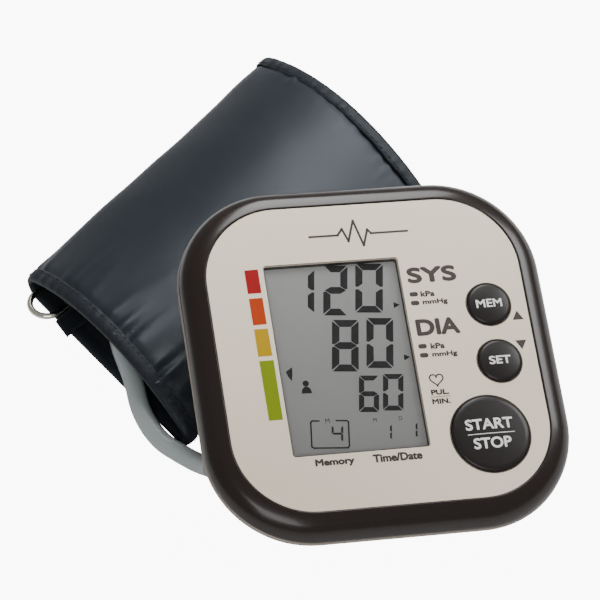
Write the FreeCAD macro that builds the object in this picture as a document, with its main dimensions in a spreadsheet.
# Automatic upper-arm blood pressure monitor with its cuff and air hose.
# Millimetres, +Z up. The monitor leans: one back corner lies on the wrapped cuff,
# the front right foot stands on the surface.
import FreeCAD, Part
import math, os
from FreeCAD import Vector as V, Placement, Rotation

os.makedirs("parts", exist_ok=True)
doc = FreeCAD.newDocument("pressure_monitor")

# ---------------------------------------------------------------- dimensions
DIM = [
    ("rim_width", 134.0), ("rim_corner", 37.0), ("rim_height", 8.5), ("rim_round", 7.0),
    ("plate_width", 116.0), ("plate_corner", 28.1), ("plate_thick", 0.8), ("deck_thick", 2.2),
    ("recess_clear", 0.1), ("skirt_width", 128.0), ("skirt_corner", 34.0),
    ("window_cx", -11.9), ("window_cy", -0.65), ("window_w", 49.4), ("window_l", 72.9), ("window_r", 1.0),
    ("start_x", 35.57), ("start_y", -34.60), ("start_r", 14.33),
    ("mem_x", 43.80), ("mem_y", 15.00), ("set_x", 43.92), ("set_y", -7.20), ("key_r", 7.98),
    ("key_clear", 0.12), ("key_rise", 0.9), ("key_travel", 0.8), ("key_flange", 1.1),
    ("case_top_w", 132.0), ("case_top_r", 36.0), ("case_base_w", 98.0), ("case_base_r", 25.0),
    ("case_wall", 2.0), ("base_drop", 36.457), ("base_tilt", 8.5),
    ("pcb_w", 104.0), ("pcb_l", 92.0), ("pcb_thick", 1.6), ("pcb_top", -8.0),
    ("cell_r", 7.1), ("cell_l", 50.3), ("cell_pitch", 14.8),
    ("door_w", 66.0), ("door_l", 57.0), ("door_thick", 1.8), ("door_clear", 0.25),
    ("foot_r", 5.0), ("foot_high", 1.7), ("foot_x", 39.0), ("foot_front", -34.0), ("foot_back", 25.0),
    ("pump_r", 10.5), ("pump_l", 24.0), ("head_l", 12.0), ("shaft_r", 1.0),
    ("cuff_left", 50.25), ("cuff_right", 47.5), ("cuff_flare", 7.2), ("cuff_l", 143.5), ("cuff_edge_r", 6.0), ("cuff_edge_grow", 3.0),
    ("cuff_high", 23.0), ("cuff_high_grow", 6.5),
    ("flat_trim", 0.02), ("cuff_mid_n", 95.75), ("cuff_a0", -36.5), ("cuff_slope", -0.165),
    ("shell_thick", 0.8), ("bladder_thick", 1.0), ("lining_thick", 0.5), ("bind_l", 4.0), ("bind_thick", 1.0),
    ("ring_wire", 2.4), ("ring_w", 15.7), ("ring_l", 146.0),
    ("hose_d", 7.4), ("coil_mid", 28.0), ("coil_w", -8.6), ("coil_a", 17.3),
    ("plug_r", 5.0), ("nozzle_r", 2.6), ("nozzle_l", 12.0),
    ("plate_height", 46.9), ("shift_x", 25.498), ("shift_y", -61.653), ("yaw_tilt", 7.2118), ("face_tilt", 17.523),
]
sheet = doc.addObject("Spreadsheet::Sheet", "dims")
for i, (name, val) in enumerate(DIM):
    sheet.set("A%d" % (i + 1), name)
    sheet.set("B%d" % (i + 1), repr(val))
    sheet.setAlias("B%d" % (i + 1), name)
doc.recompute()


def D(name):
    return float(getattr(sheet, name))


# ---------------------------------------------------------------- frames
# the monitor's own frame: origin at the middle of the face plate's upper surface,
# x to the right, y to the back, z out of the face
be = math.radians(D("yaw_tilt"))
ga = math.radians(D("face_tilt"))
XM = V(math.cos(be), 0, -math.sin(be))
YM = V(math.sin(ga) * math.sin(be), math.cos(ga), math.sin(ga) * math.cos(be))
NM = XM.cross(YM)
SHIFT = V(D("shift_x"), D("shift_y"), 0)
ORIGIN = SHIFT + V(0, 0, D("plate_height"))
POSE = Placement(FreeCAD.Matrix(XM.x, YM.x, NM.x, 0, XM.y, YM.y, NM.y, 0, XM.z, YM.z, NM.z, 0, 0, 0, 0, 1))
POSE.Base = ORIGIN
# the base's frame inside the monitor: tilted wedge, z into the case
TB = D("base_tilt")
BASE = Placement(V(0, 0, -D("base_drop")), Rotation(V(1, 0, 0), -TB))

NODES = []


def keep(obj, label, place=None):
    obj.Label = label
    if place is not None:
        obj.Placement = place
    NODES.append(obj)
    return obj


# ---------------------------------------------------------------- sketches
def plane(body, role):
    return [o for o in body.Origin.OriginFeatures if getattr(o, "Role", "") == role][0]


def new_body(name, place=POSE):
    b = doc.addObject("PartDesign::Body", name)
    keep(b, name, place)
    return b


def sketch(body, name, z=0.0, tilt=0.0, role="XY_Plane"):
    sk = body.newObject("Sketcher::SketchObject", name)
    sk.AttachmentSupport = [(plane(body, role), "")]
    sk.MapMode = "FlatFace"
    sk.AttachmentOffset = Placement(V(0, 0, z), Rotation(V(1, 0, 0), tilt))
    return sk


def bind(sk, idx, expr):
    sk.setExpression("Constraints[%d]" % idx, expr)


def circle(sk, cx, cy, r, ecx=None, ecy=None, er=None):
    import Sketcher
    g = sk.addGeometry(Part.Circle(V(cx, cy, 0), V(0, 0, 1), r), False)
    c = sk.addConstraint(Sketcher.Constraint("Radius", g, r))
    if er:
        bind(sk, c, er)
    if abs(cx) > 1e-9:
        c = sk.addConstraint(Sketcher.Constraint("DistanceX", -1, 1, g, 3, cx))
        if ecx:
            bind(sk, c, ecx)
    if abs(cy) > 1e-9:
        c = sk.addConstraint(Sketcher.Constraint("DistanceY", -1, 1, g, 3, cy))
        if ecy:
            bind(sk, c, ecy)
    return g


def rrect(sk, w, l, r, cx=0.0, cy=0.0, ew=None, el=None, er=None, ecx=None, ecy=None):
    # rounded rectangle: four lines and four tangent arcs of one radius
    import Sketcher
    a, b = w / 2.0, l / 2.0
    g0 = sk.GeometryCount
    P = [(-a + r, -b), (a - r, -b), (a, -b + r), (a, b - r), (a - r, b), (-a + r, b), (-a, b - r), (-a, -b + r)]
    P = [V(cx + x, cy + y, 0) for x, y in P]
    C = [V(cx + a - r, cy - b + r, 0), V(cx + a - r, cy + b - r, 0), V(cx - a + r, cy + b - r, 0), V(cx - a + r, cy - b + r, 0)]
    geo = []
    for k in range(4):
        geo.append(Part.LineSegment(P[2 * k], P[2 * k + 1]))
        s = -math.pi / 2 + k * math.pi / 2
        geo.append(Part.ArcOfCircle(Part.Circle(C[k], V(0, 0, 1), r), s, s + math.pi / 2))
    sk.addGeometry(geo, False)
    con = []
    for k in range(4):
        ln, ar, nx = g0 + 2 * k, g0 + 2 * k + 1, g0 + (2 * k + 2) % 8
        con.append(Sketcher.Constraint("Tangent", ln, 2, ar, 1))
        con.append(Sketcher.Constraint("Tangent", ar, 2, nx, 1))
        if k:
            con.append(Sketcher.Constraint("Equal", g0 + 1, ar))
    con += [Sketcher.Constraint("Horizontal", g0), Sketcher.Constraint("Vertical", g0 + 2),
            Sketcher.Constraint("Horizontal", g0 + 4), Sketcher.Constraint("Vertical", g0 + 6)]
    sk.addConstraint(con)
    i = sk.addConstraint(Sketcher.Constraint("Radius", g0 + 1, r))
    if er:
        bind(sk, i, er)
    i = sk.addConstraint(Sketcher.Constraint("DistanceX", g0 + 6, 1, g0 + 2, 1, w))
    if ew:
        bind(sk, i, ew)
    i = sk.addConstraint(Sketcher.Constraint("DistanceY", g0, 1, g0 + 4, 1, l))
    if el:
        bind(sk, i, el)
    i = sk.addConstraint(Sketcher.Constraint("DistanceX", g0 + 6, 1, -1, 1, w / 2.0 - cx))
    if ew:
        bind(sk, i, "(%s) / 2 - (%s)" % (ew, ecx or repr(cx)))
    i = sk.addConstraint(Sketcher.Constraint("DistanceY", g0, 1, -1, 1, l / 2.0 - cy))
    if el:
        bind(sk, i, "(%s) / 2 - (%s)" % (el, ecy or repr(cy)))


def pad(body, sk, length, expr=None, down=True):
    p = body.newObject("PartDesign::Pad", sk.Name + "_pad")
    p.Profile = sk
    p.Length = length
    if expr:
        p.setExpression("Length", expr)
    p.Reversed = bool(down)
    return p


def pocket(body, sk, length, expr=None, up=False):
    p = body.newObject("PartDesign::Pocket", sk.Name + "_cut")
    p.Profile = sk
    p.Length = length
    if expr:
        p.setExpression("Length", expr)
    p.Reversed = bool(up)
    return p


def volume(body):
    doc.recompute()
    return body.Shape.Volume


def top_edges(body, z):
    # edges of the solid so far that lie at height z in the body's own frame
    base = [o for o in body.Group if o.isDerivedFrom("PartDesign::Pad")][-1]
    return (base, ["Edge%d" % (i + 1) for i, e in enumerate(base.Shape.Edges)
                   if abs(e.BoundBox.ZMin - z) < 1e-5 and abs(e.BoundBox.ZMax - z) < 1e-5])


def check_cut(body, before, what):
    after = volume(body)
    if not after < before - 0.5:
        raise RuntimeError("%s removed nothing" % what)
    return after


# ---------------------------------------------------------------- bezel: dark glossy frame round the face plate
bz = new_body("bezel")
s = sketch(bz, "bezel_outline", 0.0)
rrect(s, D("rim_width"), D("rim_width"), D("rim_corner"), ew="dims.rim_width", el="dims.rim_width", er="dims.rim_corner")
pad(bz, s, D("rim_height"), "dims.rim_height")
v = volume(bz)
fl = bz.newObject("PartDesign::Fillet", "bezel_round")
fl.Base = top_edges(bz, 0.0)
fl.Radius = D("rim_round")
fl.setExpression("Radius", "dims.rim_round")
bz.Tip = fl
v = check_cut(bz, v, "bezel round")
s = sketch(bz, "plate_recess", 0.0)
rrect(s, D("plate_width") + 0.2, D("plate_width") + 0.2, D("plate_corner") + 0.1,
      ew="dims.plate_width + 2 * dims.recess_clear", el="dims.plate_width + 2 * dims.recess_clear",
      er="dims.plate_corner + dims.recess_clear")
pocket(bz, s, D("plate_thick") + 0.05, "dims.plate_thick + 0.05")
v = check_cut(bz, v, "plate recess")
s = sketch(bz, "skirt_hollow", -D("rim_height"))
rrect(s, D("skirt_width"), D("skirt_width"), D("skirt_corner"), ew="dims.skirt_width", el="dims.skirt_width", er="dims.skirt_corner")
deck_z = -(D("plate_thick") + 0.05 + D("deck_thick"))
pocket(bz, s, D("rim_height") + deck_z, "dims.rim_height - dims.plate_thick - 0.05 - dims.deck_thick", up=True)
v = check_cut(bz, v, "skirt hollow")
s = sketch(bz, "deck_openings", 0.0)
rrect(s, D("window_w") + 3.2, D("window_l") + 3.2, 1.6, D("window_cx"), D("window_cy"), ew="dims.window_w + 3.2", el="dims.window_l + 3.2",
      ecx="dims.window_cx", ecy="dims.window_cy")
circle(s, D("start_x"), D("start_y"), D("start_r") + D("key_clear"), "dims.start_x", None, "dims.start_r + dims.key_clear")
circle(s, D("mem_x"), D("mem_y"), D("key_r") + D("key_clear"), "dims.mem_x", "dims.mem_y", "dims.key_r + dims.key_clear")
circle(s, D("set_x"), D("set_y"), D("key_r") + D("key_clear"), "dims.set_x", None, "dims.key_r + dims.key_clear")
pocket(bz, s, 6.0)
v = check_cut(bz, v, "deck openings")

# ---------------------------------------------------------------- face plate: thin brushed sheet let into the bezel
fp = new_body("face_plate")
s = sketch(fp, "plate_outline", 0.0)
rrect(s, D("plate_width"), D("plate_width"), D("plate_corner"), ew="dims.plate_width", el="dims.plate_width", er="dims.plate_corner")
pad(fp, s, D("plate_thick"), "dims.plate_thick")
v = volume(fp)
s = sketch(fp, "plate_openings", 0.0)
rrect(s, D("window_w"), D("window_l"), D("window_r"), D("window_cx"), D("window_cy"), ew="dims.window_w", el="dims.window_l", er="dims.window_r",
      ecx="dims.window_cx", ecy="dims.window_cy")
circle(s, D("start_x"), D("start_y"), D("start_r") + D("key_clear"), "dims.start_x", None, "dims.start_r + dims.key_clear")
circle(s, D("mem_x"), D("mem_y"), D("key_r") + D("key_clear"), "dims.mem_x", "dims.mem_y", "dims.key_r + dims.key_clear")
circle(s, D("set_x"), D("set_y"), D("key_r") + D("key_clear"), "dims.set_x", None, "dims.key_r + dims.key_clear")
pocket(fp, s, 3.0)
check_cut(fp, v, "plate openings")

# ---------------------------------------------------------------- display: lens, glass, carrier, contact strips
ln = new_body("display_lens")
s = sketch(ln, "lens_outline", -(D("plate_thick") + 0.07))
rrect(s, D("window_w") + 3.0, D("window_l") + 3.0, 1.5, D("window_cx"), D("window_cy"), ew="dims.window_w + 3", el="dims.window_l + 3",
      ecx="dims.window_cx", ecy="dims.window_cy")
pad(ln, s, 1.0)
dp = new_body("display_glass")
s = sketch(dp, "glass_outline", -3.3)
rrect(s, D("window_w") + 3.6, D("window_l") + 3.6, 0.6, D("window_cx"), D("window_cy"), ew="dims.window_w + 3.6", el="dims.window_l + 3.6",
      ecx="dims.window_cx", ecy="dims.window_cy")
pad(dp, s, 2.2)
cf = new_body("display_carrier")
s = sketch(cf, "carrier_outline", -3.3)
rrect(s, D("window_w") + 7.6, D("window_l") + 7.6, 2.0, D("window_cx"), D("window_cy"), ew="dims.window_w + 7.6", el="dims.window_l + 7.6",
      ecx="dims.window_cx", ecy="dims.window_cy")
pad(cf, s, 4.6)
v = volume(cf)
s = sketch(cf, "carrier_seat", -3.3)
rrect(s, D("window_w") + 3.8, D("window_l") + 3.8, 0.7, D("window_cx"), D("window_cy"), ew="dims.window_w + 3.8", el="dims.window_l + 3.8",
      ecx="dims.window_cx", ecy="dims.window_cy")
pocket(cf, s, 2.25)
v = check_cut(cf, v, "carrier seat")
s = sketch(cf, "carrier_hollow", -3.3)
rrect(s, D("window_w") - 2.0, D("window_l") + 3.8, 0.7, D("window_cx"), D("window_cy"), ew="dims.window_w - 2", el="dims.window_l + 3.8",
      ecx="dims.window_cx", ecy="dims.window_cy")
pocket(cf, s, 6.0)
check_cut(cf, v, "carrier hollow")


def box(name, x, y, z, dx, dy, dz, exprs=()):
    o = doc.addObject("Part::Box", name)
    o.Length, o.Width, o.Height = dx, dy, dz
    for prop, ex in exprs:
        o.setExpression(prop, ex)
    o.Placement = Placement(V(x - dx / 2.0, y - dy / 2.0, z), Rotation())
    return o


def cyl(name, base, axis, r, length, er=None, el=None):
    o = doc.addObject("Part::Cylinder", name)
    o.Radius, o.Height = r, length
    if er:
        o.setExpression("Radius", er)
    if el:
        o.setExpression("Height", el)
    o.Placement = Placement(V(*base), Rotation(V(0, 0, 1), V(*axis)))
    return o


def fuse(name, objs, place=POSE):
    o = doc.addObject("Part::MultiFuse", name)
    o.Shapes = objs
    keep(o, name, place)
    return o


def cut(name, base, tool, place=None, node=True):
    o = doc.addObject("Part::Cut", name)
    o.Base, o.Tool = base, tool
    if node:
        keep(o, name, place if place is not None else POSE)
    return o


def group(name, objs, place=POSE):
    o = doc.addObject("Part::Compound", name)
    o.Links = objs
    keep(o, name, place)
    return o


def sub(name, base, tool):
    return cut(name, base, tool, node=False)


wy = D("window_l") / 2.0 + 0.6
group("zebra_strips", [box("strip_back", D("window_cx"), D("window_cy") + wy - 1.0, -7.95, 44.0, 1.8, 2.4),
                       box("strip_front", D("window_cx"), D("window_cy") - wy + 1.0, -7.95, 44.0, 1.8, 2.4)])

# ---------------------------------------------------------------- keys
deck_low = deck_z


def key(name, x, y, r, ex, ey, er):
    # domed cap through the plate and deck, a flange that stops it under the deck, and a stem
    b = new_body(name)
    s = sketch(b, name + "_cap", D("key_rise"))
    circle(s, x, y, r, ex, ey, er)
    pad(b, s, D("key_rise") - deck_low + 0.15)
    v = volume(b)
    fl = b.newObject("PartDesign::Fillet", name + "_edge")
    fl.Base = top_edges(b, D("key_rise"))
    fl.Radius = 0.8
    b.Tip = fl
    doc.recompute()
    s = sketch(b, name + "_flange", deck_low - 0.15)
    circle(s, x, y, r + D("key_flange"), ex, ey, er + " + dims.key_flange")
    pad(b, s, 1.0)
    s = sketch(b, name + "_stem", deck_low - 0.6)
    circle(s, x, y, 3.0, ex, ey, None)
    pad(b, s, 1.9)
    doc.recompute()
    return b


key("start_stop_button", D("start_x"), D("start_y"), D("start_r"), "dims.start_x", None, "dims.start_r")
key("mem_button", D("mem_x"), D("mem_y"), D("key_r"), "dims.mem_x", "dims.mem_y", "dims.key_r")
key("set_button", D("set_x"), D("set_y"), D("key_r"), "dims.set_x", None, "dims.key_r")
sw = []
for nm, x, y in (("start", D("start_x"), D("start_y")), ("mem", D("mem_x"), D("mem_y")), ("set", D("set_x"), D("set_y"))):
    a = box("switch_%s_can" % nm, x, y, -7.95, 6.0, 6.0, 0.9)
    c = cyl("switch_%s_dome" % nm, (x, y, -7.1), (0, 0, 1), 1.7, 0.55)
    f = doc.addObject("Part::Fuse", "switch_%s" % nm)
    f.Base, f.Tool = a, c
    sw.append(f)
group("tact_switches", sw)

# ---------------------------------------------------------------- circuit board
pb = new_body("main_pcb")
s = sketch(pb, "pcb_outline", D("pcb_top"))
rrect(s, D("pcb_w"), D("pcb_l"), 14.0, ew="dims.pcb_w", el="dims.pcb_l")
pad(pb, s, D("pcb_thick"), "dims.pcb_thick")

# ---------------------------------------------------------------- lower case: tapered tub with a tilted base
lc = new_body("lower_case")
zt = -D("rim_height") - 0.1


def base_rect(sk, inset, grow=0.0):
    rrect(sk, D("case_base_w") - 2 * inset, (D("case_base_w") - 2 * inset), D("case_base_r") - inset,
          ew="dims.case_base_w - %r" % (2 * inset), el="dims.case_base_w - %r" % (2 * inset), er="dims.case_base_r - %r" % inset)


s1 = sketch(lc, "case_mouth", zt)
rrect(s1, D("case_top_w"), D("case_top_w"), D("case_top_r"), ew="dims.case_top_w", el="dims.case_top_w", er="dims.case_top_r")
s2 = sketch(lc, "case_base", -D("base_drop"), -TB)
base_rect(s2, 0.0)
lo = lc.newObject("PartDesign::AdditiveLoft", "case_outer")
lo.Profile = s1
lo.Sections = [s2]
lo.Ruled = True
v = volume(lc)
w = D("case_wall")
s3 = sketch(lc, "hollow_mouth", zt)
rrect(s3, D("case_top_w") - 2 * w, D("case_top_w") - 2 * w, D("case_top_r") - w, ew="dims.case_top_w - 2 * dims.case_wall",
      el="dims.case_top_w - 2 * dims.case_wall", er="dims.case_top_r - dims.case_wall")
s4 = sketch(lc, "hollow_base", -D("base_drop") + 2.1, -TB)
base_rect(s4, 2.0)
lo = lc.newObject("PartDesign::SubtractiveLoft", "case_hollow")
lo.Profile = s3
lo.Sections = [s4]
lo.Ruled = True
v = check_cut(lc, v, "case hollow")

# battery bay in the front half of the base, with walls and roof inside the tub
BY = -21.0          # bay middle along the base
bay_w, bay_l, bay_h = 62.0, 53.0, 17.6
lc_solid = doc.addObject("Part::Feature", "case_tub")


def base_box(x, y, z, dx, dy, dz):
    b = Part.makeBox(dx, dy, dz, V(x - dx / 2.0, y - dy / 2.0, z))
    b.Placement = BASE
    return b


def local_box(x0, y0, z0, x1, y1, z1):
    return Part.makeBox(x1 - x0, y1 - y0, z1 - z0, V(x0, y0, z0))


def mcyl(p, d, r, length):
    return Part.makeCylinder(r, length, V(*p), V(*d))


tub = lc.Shape.copy()
tub.Placement = Placement()
outer = lc.getObject("case_outer").Shape.copy()
outer.Placement = Placement()
add = base_box(0, BY, 0.5, bay_w + 2.4, bay_l + 2.4, bay_h + 1.2)
jack_y, jack_z = -33.0, -20.5
pocket_in = local_box(-80, jack_y - 7.5, jack_z - 6.2, -49.5, jack_y + 7.0, jack_z + 6.2)
add2 = local_box(-66, jack_y - 9.0, jack_z - 8.0, -48.0, jack_y + 8.5, jack_z + 7.7)
TAIL_E = V(-57.5, jack_y, jack_z)
TAIL_T = V(-59.3, -28.1, -30.2)
tail_d = (TAIL_T - TAIL_E).normalize()
tub = tub.fuse([add.common(outer), add2.common(outer)])
cutters = [base_box(0, BY, -1.0, bay_w, bay_l, bay_h + 1.0),
           base_box(0, BY, -1.0, D("door_w") + 2 * D("door_clear"), D("door_l") + 2 * D("door_clear"), 1.0 + D("door_thick") + 0.1),
           pocket_in,
           mcyl((-51, jack_y, jack_z), (1, 0, 0), 4.5, 6.0)]
FEET = [(sx * D("foot_x"), y) for sx in (1, -1) for y in (D("foot_front"), D("foot_back"))]
for x, y in FEET:
    p = BASE.multVec(V(x, y, -0.1))
    c = Part.makeCylinder(D("foot_r") + 0.05, 0.6)
    c.Placement = Placement(p, BASE.Rotation)
    cutters.append(c)
    # screw posts beside the feet
dc_y, dc_z = 14.0, -16.0
cutters.append(mcyl((-70, dc_y, dc_z), (1, 0, 0), 4.0, 20.0))
for c in cutters:
    n = tub.cut(c)
    if not n.Volume < tub.Volume - 0.5:
        raise RuntimeError("case cut %d removed nothing" % cutters.index(c))
    tub = n
NODES.remove(lc)
lc.Label = "case_loft"
lc_solid.Shape = tub.removeSplitter()
keep(lc_solid, "lower_case", POSE)

# jack bezel for the power lead, seated in the left wall and soldered behind it
dc = sub("dc_body", cyl("dc_barrel", (-61.5, dc_y, dc_z), (1, 0, 0), 3.9, 13.5), cyl("dc_bore", (-62.5, dc_y, dc_z), (1, 0, 0), 2.9, 11.0))
fuse("dc_jack", [dc, cyl("dc_pin", (-60.0, dc_y, dc_z), (1, 0, 0), 0.8, 11.0), box("dc_block", -46.5, dc_y, dc_z - 4.5, 8.0, 9.0, 9.5)])

# air jack: socket tube behind the recess wall
aj = sub("aj_body", cyl("aj_barrel", (-50.95, jack_y, jack_z), (1, 0, 0), 4.4, 16.0), cyl("aj_bore", (-52, jack_y, jack_z), (1, 0, 0), 2.65, 14.0))
aj1 = doc.addObject("Part::Fuse", "aj_flanged")
aj1.Base, aj1.Tool = aj, cyl("aj_flange", (-42.0, jack_y, jack_z), (1, 0, 0), 5.2, 2.0)
aj2 = sub("aj_open", aj1, cyl("aj_bore2", (-52, jack_y, jack_z), (1, 0, 0), 2.65, 14.0))
keep(aj2, "air_jack", POSE)

# ---------------------------------------------------------------- pump, valve, sensor, tubes
px, py0, pz = 36.0, 10.6, -21.5
pump = sub("pump_can", cyl("pump_barrel", (px, py0, pz), (0, 1, 0), D("pump_r"), D("pump_l"), "dims.pump_r", "dims.pump_l"),
           cyl("pump_well", (px, py0 + D("pump_l") - 6.0, pz), (0, 1, 0), 8.0, 8.0))
keep(pump, "pump_motor", POSE)
hd = sub("head_shell", cyl("head_barrel", (px, py0 + D("pump_l") + 0.02, pz), (0, 1, 0), D("pump_r"), D("head_l"), "dims.pump_r", "dims.head_l"),
         cyl("head_well", (px, py0 + D("pump_l") - 1.0, pz), (0, 1, 0), 9.5, D("head_l") - 1.5))
fuse("pump_head", [hd, cyl("head_outlet", (px, py0 + D("pump_l") + D("head_l") - 0.5, pz), (0, 1, 0), 2.0, 5.0)])
fuse("pump_rotor", [cyl("rotor_shaft", (px, py0 + D("pump_l") - 5.9, pz), (0, 1, 0), D("shaft_r"), 14.0, "dims.shaft_r"),
                    cyl("rotor_crank", (px + 1.5, py0 + D("pump_l") + 2.0, pz), (0, 1, 0), 5.5, 3.0),
                    cyl("rotor_pin", (px + 3.0, py0 + D("pump_l") + 4.0, pz), (0, 1, 0), 1.2, 5.0)])
vx, vy, vz = -14.0, 32.0, -20.0
vb = sub("valve_shell", box("valve_block", vx, vy, vz, 14.0, 12.0, 10.35), cyl("valve_bore", (vx - 9, vy, vz + 5.0), (1, 0, 0), 2.5, 12.0))
fuse("release_valve", [vb, cyl("valve_port", (vx + 6.9, vy, vz + 5.0), (1, 0, 0), 2.0, 5.0)])
cyl_p = cyl("valve_plunger", (vx - 9.0, vy, vz + 5.0), (1, 0, 0), 2.45, 10.5)
keep(cyl_p, "valve_plunger", POSE.multiply(cyl_p.Placement))
fuse("pressure_sensor", [box("sensor_can", 8.0, 32.0, -15.65, 10.0, 10.0, 6.0), cyl("sensor_port", (8.0, 32.0, -15.6), (0, 0, -1), 1.6, 4.0)])
fuse("air_manifold", [box("manifold_bar", 2.0, 44.0, -22.0, 36.0, 4.0, 4.0), cyl("manifold_stub", (-14.0, 43.0, -20.0), (0, -1, 0), 1.8, 3.0),
                      cyl("manifold_arm", (19.9, 44.0, -20.0), (1, 0, 0), 1.8, 3.0)])
cyl_b = cyl("beeper", (-34.0, 30.0, -9.65), (0, 0, -1), 6.0, 4.0)
keep(cyl_b, "beeper", POSE.multiply(cyl_b.Placement))

# ---------------------------------------------------------------- cells, contacts, door, feet, screws (base frame)
BP = POSE.multiply(BASE)
cells = []
for i in range(4):
    x = (i - 1.5) * D("cell_pitch")
    cells.append(cyl("cell_%d" % i, (x, BY - D("cell_l") / 2.0 + 0.4, 2.3 + D("cell_r")), (0, 1, 0), D("cell_r"), D("cell_l") - 1.4, "dims.cell_r"))
group("aa_cells", cells, BP)
con = []
for i in range(2):
    x = (i * 2 - 1) * D("cell_pitch")
    con.append(box("contact_back_%d" % i, x, BY + bay_l / 2.0 - 0.55, 4.0, 24.0, 0.5, 9.0))
    con.append(box("contact_front_%d" % i, x, BY - bay_l / 2.0 + 0.55, 4.0, 24.0, 0.5, 9.0))
group("battery_contacts", con, BP)
bd = new_body("battery_door", BP)
s = sketch(bd, "door_outline", 0.0)
rrect(s, D("door_w"), D("door_l"), 3.0, 0.0, BY, ew="dims.door_w", el="dims.door_l", ecy=repr(BY))
pad(bd, s, D("door_thick"), "dims.door_thick", down=False)
v = volume(bd)
s = sketch(bd, "door_grip", 0.0)
rrect(s, 16.0, 5.0, 2.0, 0.0, BY + D("door_l") / 2.0 - 7.0)
pocket(bd, s, 0.7, up=True)
check_cut(bd, v, "door grip")
feet = []
for i, (x, y) in enumerate(FEET):
    feet.append(cyl("foot_%d" % i, (x, y, 0.45 - D("foot_high")), (0, 0, 1), D("foot_r"), D("foot_high"), "dims.foot_r", "dims.foot_high"))
group("rubber_feet", feet, BP)

# ---------------------------------------------------------------- cuff, wrapped into a flat crowned loop
AX = V(0.7954643, 0.6060005, 0)       # along the arm
WX = V(-0.6060005, 0.7954643, 0)      # across, towards the folded edge
MID = D("cuff_mid_n")


def sec_par(a):
    # the loop widens, thickens and rises a little from the near end to the far end
    t = (a + 43.0) / 141.0
    re = D("cuff_edge_r") + D("cuff_edge_grow") * t
    ch = D("cuff_high") + D("cuff_high_grow") * t
    wl, wr = -D("cuff_left"), D("cuff_right") + D("cuff_flare") * t
    wc, h0 = (wl + wr) / 2.0, (wr - wl) / 2.0 - re
    p = ch - re
    kc = (h0 ** 2 + re ** 2 - p ** 2) / (2 * (p - re))
    return wc, h0, re, kc, ch + kc, math.atan2(re + kc, h0)


def cpt(a, w, z):
    return SHIFT + AX * a + WX * (MID + w) + V(0, 0, z)


def end_a(w):
    return D("cuff_a0") + D("cuff_slope") * (50.25 - w)


def ring_wire(d, a):
    # bottom line, two edge arcs and one broad top arc, all tangent, set in by d
    wc, h0, re, kc, rt, phi = sec_par(a)

    def q(w, z):
        return cpt(a, wc + w, z)
    r, R = re - d, rt - d
    c, s = math.cos(phi), math.sin(phi)
    m = math.cos((phi - math.pi / 2) / 2.0), math.sin((phi - math.pi / 2) / 2.0)
    right = [q(h0, d), q(h0 + r * m[0], re + r * m[1]), q(h0 + r * c, re + r * s)]
    left = [q(-h0 - r * c, re + r * s), q(-h0 - r * m[0], re + r * m[1]), q(-h0, d)]
    return Part.Wire([Part.makeLine(left[2], right[0]), Part.Arc(*right).toShape(),
                      Part.Arc(right[2], q(0, R - kc), left[0]).toShape(), Part.Arc(*left).toShape()])


def skew(in0, in1, lo=-65.0, hi=65.0):
    # slab between the two slanted ends, set in by in0 and in1
    pts = [cpt(end_a(lo) + in0, lo, -20), cpt(end_a(hi) + in0, hi, -20), cpt(end_a(hi) + D("cuff_l") - in1, hi, -20), cpt(end_a(lo) + D("cuff_l") - in1, lo, -20)]
    return Part.Face(Part.makePolygon(pts + [pts[0]])).extrude(V(0, 0, 80))


def layer(d1, d2, in0, in1):
    f = Part.makeLoft([ring_wire(d1, -75.0), ring_wire(d1, 125.0)], True, True)
    g = Part.makeLoft([ring_wire(d2, -76.0), ring_wire(d2, 126.0)], True, True)
    wall = f.cut(g).common(skew(in0, in1))
    if d1 == 0.0:
        # the side it lies on is trimmed to a true flat
        wall = wall.common(Part.makeBox(600, 600, 100, V(-300, -300, D("flat_trim"))))
    return wall


def feature(name, shape, place=None):
    if shape.ShapeType == "Compound" and len(shape.Solids) == 1:
        shape = shape.Solids[0]
    o = doc.addObject("Part::Feature", name)
    o.Shape = shape
    keep(o, name, place)
    return o


ST, BT, LT, BL = D("shell_thick"), D("bladder_thick"), D("lining_thick"), D("bind_l")
feature("cuff_shell", layer(0.0, ST, BL + 0.02, BL + 0.02))
upper = skew(9.0, 9.0, -30.0, 30.0)
cut_up = Part.makeBox(400, 400, 60, V(-200, -200, 12.0))
feature("air_bladder", layer(ST + 0.05, ST + BT, 9.0, 9.0).common(upper).common(cut_up))
cut_dn = Part.makeBox(400, 400, 30, V(-200, -200, -28.5))
feature("cuff_stiffener", layer(ST + 0.05, ST + 0.75, 9.0, 9.0).common(skew(9.0, 9.0, -40.0, 40.0)).common(cut_dn))
feature("cuff_lining", layer(ST + BT + 0.1, ST + BT + 0.1 + LT, BL + 0.02, BL + 0.02))
WALL = ST + BT + 0.1 + LT
feature("edge_binding_near", layer(0.0, WALL, 0.0, D("cuff_l") - BL))
feature("edge_binding_far", layer(0.0, WALL, D("cuff_l") - BL, 0.0))

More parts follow.
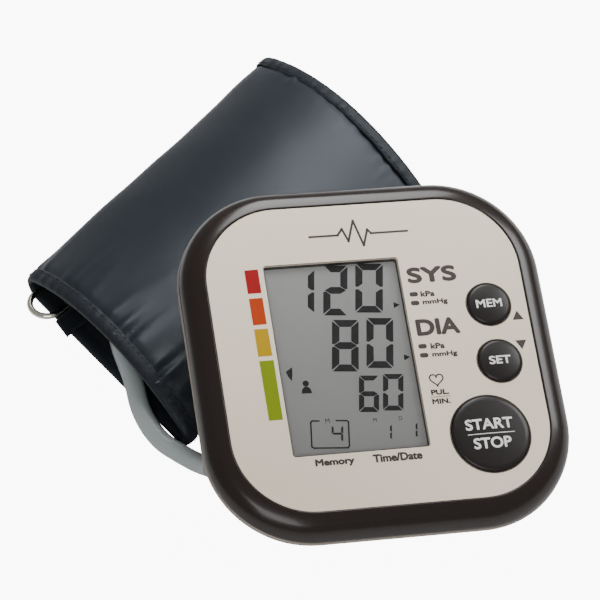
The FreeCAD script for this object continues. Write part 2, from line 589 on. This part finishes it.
# ---------------------------------------------------------------- steel ring, lying along the folded edge, in its fabric sleeve
RW = D("ring_wire") / 2.0
bar_in, bar_out, ring_z = 29.0, 29.0 + D("ring_w") - D("ring_wire"), WALL + RW + 1.0
ra0 = end_a(35.0) - 7.0
ra1 = ra0 + D("ring_l")
rc = (bar_out - bar_in) / 2.0
mid_w = (bar_in + bar_out) / 2.0
c0 = cpt(ra0 + rc + RW, mid_w, ring_z)
c1 = cpt(ra1 - rc - RW, mid_w, ring_z)
e = [Part.makeLine(c0 + WX * rc, c1 + WX * rc), Part.Arc(c1 + WX * rc, c1 + AX * rc, c1 - WX * rc).toShape(),
     Part.makeLine(c1 - WX * rc, c0 - WX * rc), Part.Arc(c0 - WX * rc, c0 - AX * rc, c0 + WX * rc).toShape()]
path = Part.Wire(e)
prof = Part.Wire(Part.makeCircle(RW, c0 + WX * rc, AX))
ring = path.makePipeShell([prof], True, True)
feature("d_ring", ring)
# sleeve: cloth loop round the inner bar, joined to the lining by its foot
sl0, sl1 = end_a(29.0) + 6.0, end_a(29.0) + D("cuff_l") - 16.0
def bar_cyl(r, a0, a1):
    return Part.makeCylinder(r, a1 - a0, cpt(a0, bar_in, ring_z), AX)
def wbox(a0, a1, w0, w1, z0, z1):
    pts = [cpt(a0, w0, z0), cpt(a1, w0, z0), cpt(a1, w1, z0), cpt(a0, w1, z0)]
    return Part.Face(Part.makePolygon(pts + [pts[0]])).extrude(V(0, 0, z1 - z0))
tube = bar_cyl(RW + 0.7, sl0, sl1).cut(bar_cyl(RW + 0.05, sl0 - 5, sl1 + 5))
sleeve = tube.fuse(wbox(sl0 + 1.5, sl1 - 1.5, bar_in - 0.6, bar_in + 0.6, WALL + 0.02, ring_z - RW - 0.4))
feature("ring_sleeve", sleeve)

# ---------------------------------------------------------------- hose elbow, coil, hose, plug
cc = cpt(D("coil_a"), D("coil_w"), 0)
HD = D("hose_d")
hr = HD / 2.0
z_c = WALL + 0.3 + hr
ro, ri = D("coil_mid") + HD, D("coil_mid") - HD
coil = Part.makeCylinder(ro, HD, V(cc.x, cc.y, z_c - hr)).cut(Part.makeCylinder(ri, HD + 2, V(cc.x, cc.y, z_c - hr - 1)))
feature("hose_coil", coil)
el_body = Part.makeCylinder(5.0, 5.8, V(cc.x, cc.y, WALL + 0.02)).fuse(Part.makeCylinder(9.0, 0.8, V(cc.x, cc.y, WALL + 0.02)))
el_body = el_body.fuse(Part.makeCylinder(2.4, ri - 0.5, V(cc.x, cc.y, z_c), WX)).removeSplitter()
feature("hose_elbow", el_body)

T_w = POSE.multVec(TAIL_T)
T_d = POSE.Rotation.multVec(tail_d)
exit_c = cc + WX * (D("coil_mid") + hr) + V(0, 0, z_c)
ROUTE = [exit_c, cpt(-1.0, 22.2, z_c), cpt(-20.0, 15.6, z_c), cpt(-34.5, 2.8, z_c), SHIFT + V(-84.0, 36.0, z_c),
         SHIFT + V(-84.2, 22.0, 6.0), SHIFT + V(-79.6, 8.2, 4.6), SHIFT + V(-71.6, -1.0, 5.0), T_w + T_d * 12.0, T_w]
fillets = []


def cord_path(pts):
    edges, cur = [], pts[0]
    total = 0.0
    for i in range(1, len(pts) - 1):
        p, q, r = pts[i - 1], pts[i], pts[i + 1]
        d1, d2 = (q - p), (r - q)
        l1, l2 = d1.Length, d2.Length
        d1.normalize()
        d2.normalize()
        turn = math.acos(max(-1, min(1, d1.dot(d2))))
        back = 0.45 * min(l1, l2)
        rad = back / math.tan(turn / 2.0)
        fillets.append(rad)
        s, t = q - d1 * back, q + d2 * back
        bis = (d2 - d1).normalize()
        cen = q + bis * (rad / math.cos(turn / 2.0))
        m = cen - bis * rad
        edges.append(Part.LineSegment(cur, s).toShape())
        edges.append(Part.Arc(s, m, t).toShape())
        total += (s - cur).Length + rad * turn
        cur = t
    edges.append(Part.LineSegment(cur, pts[-1]).toShape())
    total += (pts[-1] - cur).Length
    return Part.Wire(edges), total


wire, hose_len = cord_path(ROUTE)
prof = Part.Wire(Part.makeCircle(hr, ROUTE[0], ROUTE[1] - ROUTE[0]))
hose = wire.makePipeShell([prof], True, False)
want = math.pi * hr ** 2 * hose_len
print("hose bend radii", [round(r, 1) for r in fillets], "length", round(hose_len, 1), "volume ratio", round(hose.Volume / want, 4))
print("route", [tuple(round(c, 2) for c in p) for p in ROUTE])
print("coil centre", tuple(round(c, 2) for c in cc), "z", z_c, "wall", WALL)
feature("air_hose", hose)

plug = mcyl((-62.4, jack_y, jack_z), (1, 0, 0), D("plug_r"), 10.0)
plug = plug.fuse(mcyl((-53, jack_y, jack_z), (1, 0, 0), D("nozzle_r"), 13.0))
tail_len = (TAIL_T - TAIL_E).Length
plug = plug.fuse(mcyl(tuple(TAIL_E), tuple(tail_d), 4.1, tail_len)).removeSplitter()
feature("air_plug", plug, POSE)

# ---------------------------------------------------------------- check and write
doc.recompute()
bad = [o.Label for o in doc.Objects if "Invalid" in o.State or "Error" in o.State]
if bad:
    raise RuntimeError("failed: %s" % bad)
labels = [o.Label for o in NODES]
assert len(set(labels)) == len(labels) and len(labels) <= 60
for o in NODES:
    if o.Shape.isNull() or not o.Shape.isValid():
        raise RuntimeError("bad shape " + o.Label)
for f in os.listdir("parts"):
    if f.endswith(".step"):
        os.remove(os.path.join("parts", f))
low = 1e9
for o in NODES:
    bb = o.Shape.BoundBox
    low = min(low, bb.ZMin)
    o.Shape.exportStep("parts/%s.step" % o.Label)
print(len(NODES), "parts, lowest", round(low, 3))
low and print("tail", tuple(round(c, 2) for c in T_w), tuple(round(c, 4) for c in T_d))
for nm in ("rubber_feet", "lower_case", "cuff_shell", "air_hose", "air_plug"):
    o = [x for x in NODES if x.Label == nm][0]
    bb = o.Shape.BoundBox
    print(nm, [round(x, 2) for x in (bb.XMin, bb.YMin, bb.ZMin, bb.XMax, bb.YMax, bb.ZMax)], "solids", len(o.Shape.Solids), "vol", round(o.Shape.Volume, 1))
